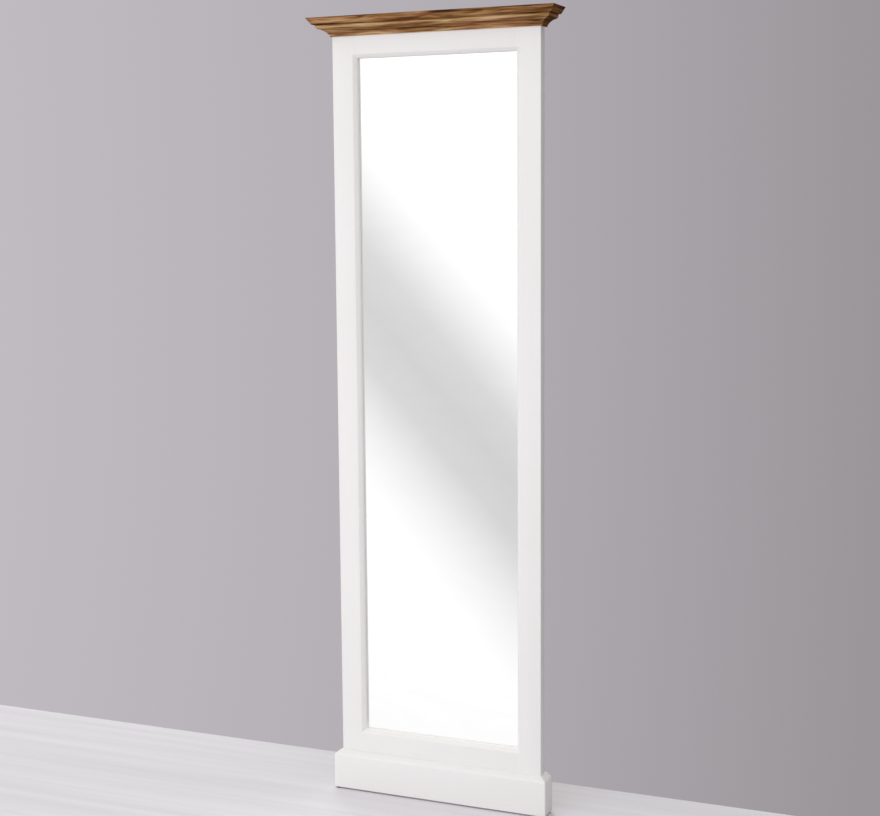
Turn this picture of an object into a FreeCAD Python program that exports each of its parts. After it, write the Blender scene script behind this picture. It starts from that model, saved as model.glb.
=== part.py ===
import FreeCAD, Part
import math
import os

from FreeCAD import Vector

# Tall framed mirror that stands upright on the floor.
# +X is the viewer's right, +Y runs from the front to the back, +Z is up, in millimetres.
# The origin is the middle of the footprint, on the floor.

# Frame of four boards
overall_height = 1800.0
frame_width = 500.0
frame_thickness = 24.0
stile_width = 58.0
top_rail_height = 89.0
bottom_rail_height = 144.0
sight_chamfer = 8.0
front_arris_radius = 2.0
back_arris_radius = 1.5

# Rebate behind the sight edge, and what it holds
rebate_width = 10.0
glass_thickness = 4.0
glass_side_gap = 2.0
glass_top_gap = 2.0
glass_edge_seam = 0.4
tape_thickness = 1.0
tape_width = 6.0
tape_setback = 0.3
panel_thickness = 3.0
panel_side_gap = 1.5
panel_top_gap = 2.5
setting_block_height = 3.0
setting_block_length = 40.0
setting_block_spacing = 200.0

# How far the returns of the cornice and the plinth run past the frame's back
rear_standoff = 8.0

# Cornice moulding, from the frame outwards and from the foot upwards
cornice_foot_projection = 4.0
cornice_foot_height = 2.5
cornice_cove_width = 17.0
cornice_cove_height = 13.0
cornice_cove_hollow = 2.0
cornice_bead_radius = 8.0
cornice_quirk_height = 2.0
cornice_quirk_depth = 6.0
cornice_fascia_height = 14.5
cornice_fascia_lean = 10.0

# Plinth boards
plinth_height = 90.0
plinth_thickness = 16.0
plinth_ledge = 3.0
plinth_chamfer_height = 9.0
plinth_shoulder_radius = 8.0
plinth_arris_radius = 3.0
plinth_toe_radius = 1.5
plinth_corner_radius = 2.5

# Felt glides under the plinth
glide_thickness = 3.0
glide_margin = 1.5

# Dowels
frame_dowel_radius = 4.0
frame_dowel_length = 40.0
frame_dowel_end_margin = 20.0
top_rail_dowels = 2
bottom_rail_dowels = 3
return_dowels = 2
return_dowel_radius = 3.0
return_dowel_in_stile = 15.0
return_dowel_in_moulding = 10.0
cornice_dowel_drop = 8.0
cornice_dowel_pitch = 12.0
plinth_dowel_rise = 25.0
plinth_dowel_pitch = 35.0
dowel_play = 0.1
dowel_end_gap = 1.0

# Countersunk screws that hold the cornice and the plinth from behind
wood_screw_radius = 2.0
wood_screw_head_radius = 4.0
wood_screw_tip = 4.0
wood_screw_spacing = 130.0
wood_screw_columns = 3
cornice_screw_bite = 18.0
cornice_screw_drop = 9.0
plinth_screw_bite = 11.0
plinth_screw_rise = 45.0
screw_play = 0.05
screw_end_gap = 1.0
screw_point_radius = 0.5

# Turn buttons that hold the back panel
button_count_per_side = 4
button_end_margin = 150.0
button_thickness = 1.5
button_pivot_offset = 9.0
button_pivot_end_radius = 7.0
button_tip_radius = 4.5
button_arm_length = 20.0
button_edge_radius = 0.4
button_float = 0.1
button_bore_clearance = 0.08

# Pan head screws of the turn buttons and hangers
pan_screw_radius = 2.0
pan_screw_length = 14.0
pan_screw_tip = 3.5
pan_screw_head_radius = 3.8
pan_screw_head_height = 2.4
pan_screw_head_round = 1.2
recess_span = 4.2
recess_width = 1.0
recess_depth = 1.3

# Keyhole hangers, each over a pocket in the back of its stile
hanger_drop = 160.0
hanger_width = 22.0
hanger_height = 60.0
hanger_thickness = 2.0
hanger_corner_radius = 4.0
hanger_screw_pitch = 46.0
keyhole_entry_radius = 5.0
keyhole_slot_radius = 2.5
keyhole_slot_rise = 13.0
keyhole_head_room = 2.0
pocket_depth = 9.0
pocket_corner_radius = 4.0

# Places worked out from the sizes above
cornice_projection = (cornice_foot_projection + cornice_cove_width + cornice_bead_radius
                      + cornice_quirk_depth + cornice_fascia_lean)
cornice_height = (cornice_foot_height + cornice_cove_height + cornice_bead_radius
                  + cornice_quirk_height + cornice_fascia_height)
overall_depth = cornice_projection + frame_thickness + rear_standoff
half_frame = frame_width / 2
y_front = cornice_projection - overall_depth / 2
y_back = y_front + frame_thickness
y_wall = y_back + rear_standoff
y_middle = (y_front + y_back) / 2
z_foot = glide_thickness
z_top = overall_height
sight_half = half_frame - stile_width
z_sight_low = z_foot + bottom_rail_height
z_sight_high = z_top - top_rail_height
rebate_half = sight_half + rebate_width
z_rebate_low = z_sight_low - rebate_width
z_rebate_high = z_sight_high + rebate_width
y_shoulder = y_back - panel_thickness - glass_thickness - tape_thickness
y_glass_front = y_shoulder + tape_thickness
y_glass_back = y_glass_front + glass_thickness
z_glass_low = z_rebate_low + setting_block_height
z_glass_high = z_rebate_high - glass_top_gap
glass_half = rebate_half - glass_side_gap
hanger_x = (rebate_half + half_frame) / 2
hanger_z = z_top - hanger_drop
y_button_seat = y_back + 2 * button_float + button_thickness


# Shared shape helpers

def block(x_low, x_high, y_low, y_high, z_low, z_high):
    corner = Vector(x_low, y_low, z_low)
    return Part.makeBox(x_high - x_low, y_high - y_low, z_high - z_low, corner)


def prism(plan_points, z_low, z_high):
    corners = [Vector(x, y, z_low) for x, y in plan_points]
    outline = Part.makePolygon(corners + corners[:1])
    return Part.Face(outline).extrude(Vector(0, 0, z_high - z_low))


def solid_of(shape):
    return shape.removeSplitter().Solids[0]


def mirrored(shape):
    return shape.mirror(Vector(0, 0, 0), Vector(1, 0, 0))


def outline_face(start, steps, place):
    """A face whose outline runs from start through lines (1 point) and arcs (2 points), and closes."""
    edges = []
    here = start
    for step in steps + [[start]]:
        end = step[-1]
        if len(step) == 1:
            edges.append(Part.makeLine(place(*here), place(*end)))
        else:
            edges.append(Part.Arc(place(*here), place(*step[0]), place(*end)).toShape())
        here = end
    return Part.Face(Part.Wire(edges))


def rounded_corner(before, corner, after, radius):
    """The line to a rounded corner's start, and the arc round it, as outline steps."""
    towards = []
    for other in (before, after):
        run = math.dist(corner, other)
        towards.append(((other[0] - corner[0]) / run, (other[1] - corner[1]) / run))
    half_angle = math.acos(towards[0][0] * towards[1][0] + towards[0][1] * towards[1][1]) / 2
    setback = radius / math.tan(half_angle)
    centre_distance = radius / math.sin(half_angle)
    inward = (towards[0][0] + towards[1][0], towards[0][1] + towards[1][1])
    inward_length = math.hypot(*inward)
    start = (corner[0] + towards[0][0] * setback, corner[1] + towards[0][1] * setback)
    end = (corner[0] + towards[1][0] * setback, corner[1] + towards[1][1] * setback)
    depth = (centre_distance - radius) / inward_length
    middle = (corner[0] + inward[0] * depth, corner[1] + inward[1] * depth)
    return [[start], [middle, end]]


def quarter_arc(centre, start, end):
    """The middle and the end of the quarter circle from start to end about centre."""
    radius = math.dist(centre, start)
    middle_u = start[0] + end[0] - 2 * centre[0]
    middle_v = start[1] + end[1] - 2 * centre[1]
    length = math.hypot(middle_u, middle_v)
    return [(centre[0] + radius * middle_u / length, centre[1] + radius * middle_v / length), end]


def hollow_arc(start, end, hollow):
    """The middle and the end of a shallow arc from start to end, sunk to the left of the line between them."""
    run_u = end[0] - start[0]
    run_v = end[1] - start[1]
    sink = hollow / math.hypot(run_u, run_v)
    return [((start[0] + end[0]) / 2 - run_v * sink, (start[1] + end[1]) / 2 + run_u * sink), end]


# Fasteners, each with the hole that it needs

def dowel(x_low, x_high, y, z, radius):
    return Part.makeCylinder(radius, x_high - x_low, Vector(x_low, y, z), Vector(1, 0, 0))


def dowel_hole(x_low, x_high, y, z, radius):
    return dowel(x_low - dowel_end_gap, x_high + dowel_end_gap, y, z, radius + dowel_play)


def cross_recess(x, y_head, z):
    arm_x = block(x - recess_span / 2, x + recess_span / 2, y_head - recess_depth, y_head,
                  z - recess_width / 2, z + recess_width / 2)
    arm_z = block(x - recess_width / 2, x + recess_width / 2, y_head - recess_depth, y_head,
                  z - recess_span / 2, z + recess_span / 2)
    return arm_x.fuse(arm_z)


def pointed_shank(x, y_start, z, radius, length, tip):
    into = Vector(0, -1, 0)
    shank = Part.makeCylinder(radius, length - tip, Vector(x, y_start, z), into)
    point = Part.makeCone(radius, screw_point_radius, tip, Vector(x, y_start - length + tip, z), into)
    return shank.fuse(point)


def countersunk_form(x, z, length, play):
    shank_radius = wood_screw_radius + play
    head_radius = wood_screw_head_radius + play
    head = Part.makeCone(head_radius, shank_radius, head_radius - shank_radius,
                         Vector(x, y_back, z), Vector(0, -1, 0))
    return pointed_shank(x, y_back, z, shank_radius, length, wood_screw_tip).fuse(head)


def countersunk_screw(x, z, length):
    return solid_of(countersunk_form(x, z, length, 0).cut(cross_recess(x, y_back, z)))


def countersunk_hole(x, z, length):
    return countersunk_form(x, z, length + screw_end_gap, screw_play)


def pan_screw(x, y_seat, z):
    y_crown = y_seat + pan_screw_head_height
    head = Part.makeCylinder(pan_screw_head_radius, pan_screw_head_height, Vector(x, y_seat, z), Vector(0, 1, 0))
    rim = [edge for edge in head.Edges if edge.Closed and abs(edge.CenterOfMass.y - y_crown) < 1e-6]
    head = head.makeFillet(pan_screw_head_round, rim)
    shank = pointed_shank(x, y_seat, z, pan_screw_radius, pan_screw_length, pan_screw_tip)
    return solid_of(head.fuse(shank).cut(cross_recess(x, y_crown, z)))


def pan_screw_hole(x, z):
    return Part.makeCylinder(pan_screw_radius + screw_play, pan_screw_length + screw_end_gap,
                             Vector(x, y_back, z), Vector(0, -1, 0))


def spread(low, high, count):
    pitch = (high - low) / (count - 1)
    return [low + pitch * index for index in range(count)]


# Dowels between the rails and the stiles
frame_dowel_places = []
for rail_low, rail_high, rail_dowels in (
        (z_sight_high + rebate_width, z_top, top_rail_dowels),
        (z_foot, z_rebate_low, bottom_rail_dowels)):
    for dowel_z in spread(rail_low + frame_dowel_end_margin, rail_high - frame_dowel_end_margin, rail_dowels):
        for side in (-1, 1):
            joint_x = side * sight_half
            frame_dowel_places.append((joint_x - frame_dowel_length / 2, joint_x + frame_dowel_length / 2,
                                       y_middle, dowel_z, frame_dowel_radius))

# Dowels between the stiles and the returns of the cornice and the plinth
cornice_dowel_places = []
plinth_dowel_places = []
for side in (-1, 1):
    ends = sorted((side * (half_frame - return_dowel_in_stile), side * (half_frame + return_dowel_in_moulding)))
    for step in range(return_dowels):
        cornice_dowel_z = z_top - cornice_dowel_drop - step * cornice_dowel_pitch
        plinth_dowel_z = z_foot + plinth_dowel_rise + step * plinth_dowel_pitch
        cornice_dowel_places.append((*ends, y_middle, cornice_dowel_z, return_dowel_radius))
        plinth_dowel_places.append((*ends, y_middle, plinth_dowel_z, return_dowel_radius))

# Screws through the rails into the cornice and the plinth
screw_half_span = wood_screw_spacing * (wood_screw_columns - 1) / 2
screw_columns = spread(-screw_half_span, screw_half_span, wood_screw_columns)
cornice_screw_length = frame_thickness + cornice_screw_bite
plinth_screw_length = frame_thickness + plinth_screw_bite
cornice_screw_places = [(x, z_top - cornice_screw_drop, cornice_screw_length) for x in screw_columns]
plinth_screw_places = [(x, z_foot + plinth_screw_rise, plinth_screw_length) for x in screw_columns]

# Turn buttons: name, pivot, and the way that the arm points over the panel
button_x = rebate_half + button_pivot_offset
button_heights = spread(z_rebate_low + button_end_margin, z_rebate_high - button_end_margin, button_count_per_side)
button_places = {
    "turn_button_bottom": (0, z_rebate_low - button_pivot_offset, 0, 1),
    "turn_button_top": (0, z_rebate_high + button_pivot_offset, 0, -1),
}
for number, button_z in enumerate(button_heights, start=1):
    button_places[f"turn_button_left_{number}"] = (-button_x, button_z, 1, 0)
    button_places[f"turn_button_right_{number}"] = (button_x, button_z, -1, 0)

# Screws of the hangers
hanger_screw_places = [(side * hanger_x, hanger_z + end * hanger_screw_pitch / 2)
                       for side in (-1, 1) for end in (-1, 1)]

# Every hole that a fastener needs in the wood
fastener_holes = [dowel_hole(*place) for place in frame_dowel_places + cornice_dowel_places + plinth_dowel_places]
fastener_holes += [countersunk_hole(*place) for place in cornice_screw_places + plinth_screw_places]
fastener_holes += [pan_screw_hole(x, z) for x, z, arm_x, arm_z in button_places.values()]
fastener_holes += [pan_screw_hole(x, z) for x, z in hanger_screw_places]


def drilled(shape):
    reach = shape.BoundBox
    holes = [hole for hole in fastener_holes if reach.intersect(hole.BoundBox)]
    return solid_of(shape.cut(holes) if holes else shape)


# Frame: the sight chamfer and the rebate run round all four boards

def sight_funnel():
    return Part.makeWedge(-sight_half - sight_chamfer, y_front, z_sight_low - sight_chamfer,
                          z_sight_low, -sight_half,
                          sight_half + sight_chamfer, y_front + sight_chamfer, z_sight_high + sight_chamfer,
                          z_sight_high, sight_half)


def framed(board):
    rebate = block(-rebate_half, rebate_half, y_shoulder, y_back, z_rebate_low, z_rebate_high)
    return board.cut([sight_funnel(), rebate])


def hanger_pocket():
    half_width = keyhole_entry_radius + keyhole_head_room
    z_low = hanger_z - keyhole_slot_rise / 2 - half_width
    z_high = hanger_z + keyhole_slot_rise / 2 + half_width
    pocket = block(hanger_x - half_width, hanger_x + half_width, y_back - pocket_depth, y_back, z_low, z_high)
    uprights = [edge for edge in pocket.Edges if abs(edge.tangentAt(edge.FirstParameter).y) > 0.99]
    return pocket.makeFillet(pocket_corner_radius, uprights)


def right_stile():
    inner_front = (sight_half, y_front)
    outer_front = (half_frame, y_front)
    outer_back = (half_frame, y_back)
    inner_back = (sight_half, y_back)
    steps = rounded_corner(inner_front, outer_front, outer_back, front_arris_radius)
    steps += rounded_corner(outer_front, outer_back, inner_back, back_arris_radius)
    steps += [[inner_back]]
    section = outline_face(inner_front, steps, lambda x, y: Vector(x, y, z_foot))
    board = section.extrude(Vector(0, 0, z_top - z_foot))
    return drilled(framed(board).cut(hanger_pocket()))


def left_stile():
    return mirrored(right_stile())


def top_rail():
    return drilled(framed(block(-sight_half, sight_half, y_front, y_back, z_sight_high, z_top)))


def bottom_rail():
    return drilled(framed(block(-sight_half, sight_half, y_front, y_back, z_foot, z_sight_low)))


# Mirror pane, its bedding and its back

def mirror_pane():
    pane = block(-glass_half, glass_half, y_glass_front, y_glass_back, z_glass_low, z_glass_high)
    return pane.makeChamfer(glass_edge_seam, pane.Edges)


def glazing_tape():
    inner = sight_half + tape_setback
    outer = inner + tape_width
    low = z_sight_low - tape_setback
    high = z_sight_high + tape_setback
    strips = [block(-inner, inner, y_shoulder, y_glass_front, low - tape_width, low),
              block(-inner, inner, y_shoulder, y_glass_front, high, high + tape_width)]
    for near, far in ((-outer, -inner), (inner, outer)):
        strips.append(block(near, far, y_shoulder, y_glass_front, low - tape_width, high + tape_width))
    return Part.makeCompound(strips)


def setting_blocks():
    half = setting_block_length / 2
    middles = (-setting_block_spacing / 2, setting_block_spacing / 2)
    return Part.makeCompound([block(middle - half, middle + half, y_glass_front, y_glass_back,
                                    z_rebate_low, z_glass_low) for middle in middles])


def back_panel():
    half = rebate_half - panel_side_gap
    return block(-half, half, y_glass_back, y_back, z_rebate_low, z_rebate_high - panel_top_gap)


# Cornice and plinth: one moulded section each, mitred at the two front corners

def mitred_run(face, z_low, z_high, reach):
    run = face.extrude(Vector(2 * (half_frame + reach), 0, 0))
    plan = [(-half_frame, y_front), (half_frame, y_front),
            (half_frame + reach, y_front - reach), (-half_frame - reach, y_front - reach)]
    return run.common(prism(plan, z_low, z_high))


def mitred_return(face, z_low, z_high, reach):
    run = face.extrude(Vector(0, y_wall - y_front + reach, 0))
    plan = [(half_frame, y_front), (half_frame + reach, y_front - reach),
            (half_frame + reach, y_wall), (half_frame, y_wall)]
    return run.common(prism(plan, z_low, z_high))


def cornice_face(place):
    z_low = z_top - cornice_height
    foot = cornice_foot_projection
    z_cove_low = z_low + cornice_foot_height
    z_cove_high = z_cove_low + cornice_cove_height
    cove = foot + cornice_cove_width
    bead = cove + cornice_bead_radius
    z_bead_high = z_cove_high + cornice_bead_radius
    z_quirk = z_bead_high + cornice_quirk_height
    fascia_low = bead + cornice_quirk_depth
    steps = [[(foot, z_low)], [(foot, z_cove_low)],
             hollow_arc((foot, z_cove_low), (cove, z_cove_high), cornice_cove_hollow),
             quarter_arc((cove, z_bead_high), (cove, z_cove_high), (bead, z_bead_high)),
             [(bead, z_quirk)], [(fascia_low, z_quirk)], [(cornice_projection, z_top)], [(0, z_top)]]
    return outline_face((0, z_low), steps, place)


def plinth_face(place):
    z_high = z_foot + plinth_height
    ledge = (plinth_ledge, z_high)
    shoulder = (plinth_thickness, z_high - plinth_chamfer_height)
    toe = (plinth_thickness, z_foot)
    heel = (0, z_foot)
    crest = (0, z_high)
    steps = rounded_corner(heel, toe, shoulder, plinth_toe_radius)
    steps += rounded_corner(toe, shoulder, ledge, plinth_shoulder_radius)
    steps += rounded_corner(shoulder, ledge, crest, plinth_arris_radius)
    steps += [[crest]]
    return outline_face(heel, steps, place)


def front_section(reach):
    return lambda projection, z: Vector(-half_frame - reach, y_front - projection, z)


def return_section(reach):
    return lambda projection, z: Vector(half_frame + projection, y_front - reach, z)


def plinth_plan():
    """The plinth's plan with its two front corners eased."""
    outside = half_frame + plinth_thickness
    y_toe = y_front - plinth_thickness
    body = block(-outside, outside, y_toe, y_wall, z_foot, z_foot + plinth_height)
    corners = [edge for edge in body.Edges
               if abs(edge.tangentAt(edge.FirstParameter).z) > 0.99 and abs(edge.CenterOfMass.y - y_toe) < 1e-6]
    return body.makeFillet(plinth_corner_radius, corners)


def cornice_front():
    face = cornice_face(front_section(cornice_projection))
    return drilled(mitred_run(face, z_top - cornice_height, z_top, cornice_projection))


def cornice_right_return():
    face = cornice_face(return_section(cornice_projection))
    return drilled(mitred_return(face, z_top - cornice_height, z_top, cornice_projection))


def plinth_front():
    face = plinth_face(front_section(plinth_thickness))
    run = mitred_run(face, z_foot, z_foot + plinth_height, plinth_thickness)
    return drilled(run.common(plinth_plan()))


def plinth_right_return():
    face = plinth_face(return_section(plinth_thickness))
    run = mitred_return(face, z_foot, z_foot + plinth_height, plinth_thickness)
    return drilled(run.common(plinth_plan()))


def floor_glides():
    radius = plinth_thickness / 2 - glide_margin
    middle_x = half_frame + plinth_thickness / 2
    y_places = (y_front - plinth_thickness / 2, y_wall - plinth_thickness / 2)
    return Part.makeCompound([Part.makeCylinder(radius, glide_thickness, Vector(side * middle_x, y, 0))
                              for side in (-1, 1) for y in y_places])


# Back hardware

def turn_button(pivot_x, pivot_z, arm_x, arm_z):
    touch = math.acos((button_pivot_end_radius - button_tip_radius) / button_arm_length)
    y_low = y_back + button_float

    def place(along, across):
        return Vector(pivot_x + along * arm_x - across * arm_z, y_low, pivot_z + along * arm_z + across * arm_x)

    def rim(centre, radius, side):
        return (centre + radius * math.cos(touch), side * radius * math.sin(touch))

    steps = [[(-button_pivot_end_radius, 0), rim(0, button_pivot_end_radius, -1)],
             [rim(button_arm_length, button_tip_radius, -1)],
             [(button_arm_length + button_tip_radius, 0), rim(button_arm_length, button_tip_radius, 1)]]
    plate = outline_face(rim(0, button_pivot_end_radius, 1), steps, place).extrude(Vector(0, button_thickness, 0))
    top_edges = [edge for edge in plate.Edges if abs(edge.BoundBox.YMin - y_low - button_thickness) < 1e-6]
    plate = plate.makeFillet(button_edge_radius, top_edges)
    bore = Part.makeCylinder(pan_screw_radius + button_bore_clearance, button_thickness,
                             Vector(pivot_x, y_low, pivot_z), Vector(0, 1, 0))
    return solid_of(plate.cut(bore))


def hanger_plate(side):
    x = side * hanger_x
    y_out = y_back + hanger_thickness
    into = Vector(0, 1, 0)
    plate = block(x - hanger_width / 2, x + hanger_width / 2, y_back, y_out,
                  hanger_z - hanger_height / 2, hanger_z + hanger_height / 2)
    corners = [edge for edge in plate.Edges if abs(edge.tangentAt(edge.FirstParameter).y) > 0.99]
    plate = plate.makeFillet(hanger_corner_radius, corners)
    z_entry = hanger_z - keyhole_slot_rise / 2
    z_slot_end = z_entry + keyhole_slot_rise
    cuts = [Part.makeCylinder(keyhole_entry_radius, hanger_thickness, Vector(x, y_back, z_entry), into),
            Part.makeCylinder(keyhole_slot_radius, hanger_thickness, Vector(x, y_back, z_slot_end), into),
            block(x - keyhole_slot_radius, x + keyhole_slot_radius, y_back, y_out, z_entry, z_slot_end)]
    for end in (-1, 1):
        screw_z = hanger_z + end * hanger_screw_pitch / 2
        cuts.append(Part.makeCylinder(pan_screw_radius + screw_play, hanger_thickness,
                                      Vector(x, y_back, screw_z), into))
    return solid_of(plate.cut(cuts))


nodes = {
    "left_stile": left_stile(),
    "right_stile": right_stile(),
    "top_rail": top_rail(),
    "bottom_rail": bottom_rail(),
    "frame_dowels": Part.makeCompound([dowel(*place) for place in frame_dowel_places]),
    "cornice_front": cornice_front(),
    "cornice_left_return": mirrored(cornice_right_return()),
    "cornice_right_return": cornice_right_return(),
    "cornice_dowels": Part.makeCompound([dowel(*place) for place in cornice_dowel_places]),
    "cornice_screws": Part.makeCompound([countersunk_screw(*place) for place in cornice_screw_places]),
    "plinth_front": plinth_front(),
    "plinth_left_return": mirrored(plinth_right_return()),
    "plinth_right_return": plinth_right_return(),
    "plinth_dowels": Part.makeCompound([dowel(*place) for place in plinth_dowel_places]),
    "plinth_screws": Part.makeCompound([countersunk_screw(*place) for place in plinth_screw_places]),
    "floor_glides": floor_glides(),
    "glazing_tape": glazing_tape(),
    "setting_blocks": setting_blocks(),
    "mirror_pane": mirror_pane(),
    "back_panel": back_panel(),
    "turn_button_screws": Part.makeCompound([pan_screw(x, y_button_seat, z)
                                             for x, z, arm_x, arm_z in button_places.values()]),
    "hanger_plates": Part.makeCompound([hanger_plate(side) for side in (-1, 1)]),
    "hanger_screws": Part.makeCompound([pan_screw(x, y_back + hanger_thickness, z)
                                        for x, z in hanger_screw_places]),
}
for button_name, button_place in button_places.items():
    nodes[button_name] = turn_button(*button_place)

os.makedirs("parts", exist_ok=True)
for node_name, node_shape in nodes.items():
    node_shape.exportStep(f"parts/{node_name}.step")
    box = node_shape.BoundBox
    print(node_name, len(node_shape.Solids), "solids, valid", node_shape.isValid(),
          f"{box.XMin:.1f} {box.XMax:.1f}  {box.YMin:.1f} {box.YMax:.1f}  {box.ZMin:.1f} {box.ZMax:.1f}")
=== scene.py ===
import math

import bmesh
import bpy
from mathutils import Matrix, Vector


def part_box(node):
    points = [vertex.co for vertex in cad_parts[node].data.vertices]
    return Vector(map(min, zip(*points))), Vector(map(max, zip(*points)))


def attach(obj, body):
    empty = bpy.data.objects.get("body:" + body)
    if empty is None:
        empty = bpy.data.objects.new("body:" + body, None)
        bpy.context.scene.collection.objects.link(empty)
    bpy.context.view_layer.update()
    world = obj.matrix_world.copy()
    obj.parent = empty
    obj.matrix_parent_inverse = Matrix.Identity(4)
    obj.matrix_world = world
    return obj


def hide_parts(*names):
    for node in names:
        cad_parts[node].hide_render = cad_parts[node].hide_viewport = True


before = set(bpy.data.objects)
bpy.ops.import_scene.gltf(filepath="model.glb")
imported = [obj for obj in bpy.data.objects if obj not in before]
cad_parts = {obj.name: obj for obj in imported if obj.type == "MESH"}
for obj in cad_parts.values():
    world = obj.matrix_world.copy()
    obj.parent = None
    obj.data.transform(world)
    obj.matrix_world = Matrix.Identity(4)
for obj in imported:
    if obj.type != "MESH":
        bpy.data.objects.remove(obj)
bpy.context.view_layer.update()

# Frame boards: two pine stiles and two rails, dowelled together and painted satin white by brush.
# The chamfer and the rebate were run round the glass in one pass, so the frame is shaped whole here
# and then sawn at its four joints. The outer arrises are sanded round and the back is left bare.
frame_body = "mirror_frame"
across = 0
inward = 1
upright = 2
quarter_turn = math.radians(90)
stile_low, stile_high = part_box("right_stile")
front_y = stile_low.y
back_y = stile_high.y
frame_half = stile_high.x
frame_foot = stile_low.z
frame_top = stile_high.z
frame_middle = (frame_foot + frame_top) / 2
sight_half = stile_low.x
sight_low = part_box("bottom_rail")[1].z
sight_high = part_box("top_rail")[0].z
sight_middle = (sight_low + sight_high) / 2
sight_chamfer = 0.008
rebate_width = 0.010
rebate_depth = 0.008
front_arris = 0.002
back_arris = 0.0015
sight_arris = 0.0008
joint_arris = 0.0001
joint_inset = 0.00005
hair = 0.00002
saw_slack = 1e-6
smooth_below = math.radians(32)


def select_only(piece):
    """Makes one piece the selected and active one, in object mode."""
    bpy.ops.object.select_all(action="DESELECT")
    piece.select_set(True)
    bpy.context.view_layer.objects.active = piece


def pick(piece, kind, wanted):
    """Selects the faces or edges of a piece in edit mode that pass a test, and nothing else."""
    bpy.ops.mesh.select_mode(type=kind)
    bpy.ops.mesh.select_all(action="DESELECT")
    shell = bmesh.from_edit_mesh(piece.data)
    for part in (shell.faces if kind == "FACE" else shell.edges):
        if wanted(part):
            part.select_set(True)
    bmesh.update_edit_mesh(piece.data)


def edge_at(axis_places):
    """A test for edges whose two ends lie on the given planes or their mirror images, one per axis."""
    def wanted(edge):
        return all(abs(abs(end.co[axis]) - place) < hair for end in edge.verts
                   for axis, place in axis_places.items())
    return wanted


def runs_along(axis):
    """A test for edges whose two ends lie apart along an axis."""
    return lambda edge: abs(edge.verts[0].co[axis] - edge.verts[1].co[axis]) > hair


def ease(piece, wanted, radius, segments):
    """Rounds the chosen edges of a piece."""
    pick(piece, "EDGE", wanted)
    bpy.ops.mesh.bevel(offset=radius, offset_type="OFFSET", segments=segments, profile=0.5, affect="EDGES")


def push(step, factor, centre):
    """Extrudes the picked face by a step, then widens or narrows it about a centre."""
    bpy.ops.mesh.extrude_region_move(TRANSFORM_OT_translate={"value": step})
    bpy.ops.transform.resize(value=factor, center_override=centre)


def saw(point, normal):
    """Cuts the piece in edit mode along a plane, keeps the side of the normal and closes the cut."""
    bpy.ops.mesh.select_all(action="SELECT")
    bpy.ops.mesh.bisect(plane_co=point, plane_no=normal, use_fill=True, threshold=saw_slack, clear_inner=True)


def block(name, low, high):
    """A rectangular block between two corners, left in edit mode."""
    bpy.ops.object.select_all(action="DESELECT")
    bpy.ops.mesh.primitive_cube_add(size=1, location=(Vector(low) + Vector(high)) / 2)
    made = bpy.context.object
    made.name = name
    made.scale = Vector(high) - Vector(low)
    bpy.ops.object.transform_apply(location=True, rotation=True, scale=True)
    bpy.ops.object.mode_set(mode="EDIT")
    return made


def copy_of(piece, name):
    """A copy of a piece with its own mesh, selected alone."""
    select_only(piece)
    bpy.ops.object.duplicate(linked=False)
    made = bpy.context.object
    made.name = name
    made.data.name = name
    return made


def face_out():
    """Turns the faces of the piece in edit mode outwards, leaves edit mode and smooths gentle bends."""
    bpy.ops.mesh.select_all(action="SELECT")
    bpy.ops.mesh.normals_make_consistent(inside=False)
    bpy.ops.object.mode_set(mode="OBJECT")
    bpy.ops.object.shade_smooth_by_angle(angle=smooth_below)


def hand_in(piece, node_name, finish):
    """Gives a finished piece its finish and its body, and hides the imported node that it stands for."""
    piece.data.materials.clear()
    piece.data.materials.append(finish)
    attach(piece, frame_body)
    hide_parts(node_name)


def cut_away(piece, cutter):
    """Cuts a cutter's shape out of a piece and throws the cutter away."""
    select_only(piece)
    cut = piece.modifiers.new("cut", "BOOLEAN")
    cut.operation = "DIFFERENCE"
    cut.solver = "EXACT"
    cut.object = cutter
    bpy.ops.object.modifier_apply(modifier=cut.name)
    bpy.data.objects.remove(cutter)


bpy.ops.object.select_all(action="DESELECT")
bpy.ops.mesh.primitive_plane_add(size=1, location=(0, front_y, frame_middle), rotation=(quarter_turn, 0, 0))
whole_frame = bpy.context.object
whole_frame.scale = (2 * frame_half, frame_top - frame_foot, 1)
bpy.ops.object.transform_apply(location=True, rotation=True, scale=True)
bpy.ops.object.mode_set(mode="EDIT")

# The sight opening: flat border, chamfer, land, shoulder and rebate, pushed in one after another
border = frame_half - sight_half - sight_chamfer
inset_height = frame_top - frame_foot - 2 * border
sight_height = sight_high - sight_low
chamfer_half = sight_half + sight_chamfer
chamfer_height = sight_height + 2 * sight_chamfer
rebate_half = sight_half + rebate_width
rebate_height = sight_height + 2 * rebate_width
land_depth = back_y - front_y - sight_chamfer - rebate_depth
sight_centre = (0, 0, sight_middle)
same_size = (1, 1, 1)
bpy.ops.mesh.inset(thickness=border, depth=0)
bpy.ops.transform.resize(value=(1, 1, chamfer_height / inset_height),
                         center_override=(0, front_y, frame_middle))
bpy.ops.transform.translate(value=(0, 0, sight_middle - frame_middle))
push((0, sight_chamfer, 0), (sight_half / chamfer_half, 1, sight_height / chamfer_height), sight_centre)
push((0, land_depth, 0), same_size, sight_centre)
push((0, 0, 0), (rebate_half / sight_half, 1, rebate_height / sight_height), sight_centre)
push((0, rebate_depth, 0), same_size, sight_centre)
bpy.ops.mesh.delete(type="FACE")


def on_front_rim(edge):
    """The open edges round the front face."""
    return edge.is_boundary and all(abs(end.co.y - front_y) < hair for end in edge.verts)


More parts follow.
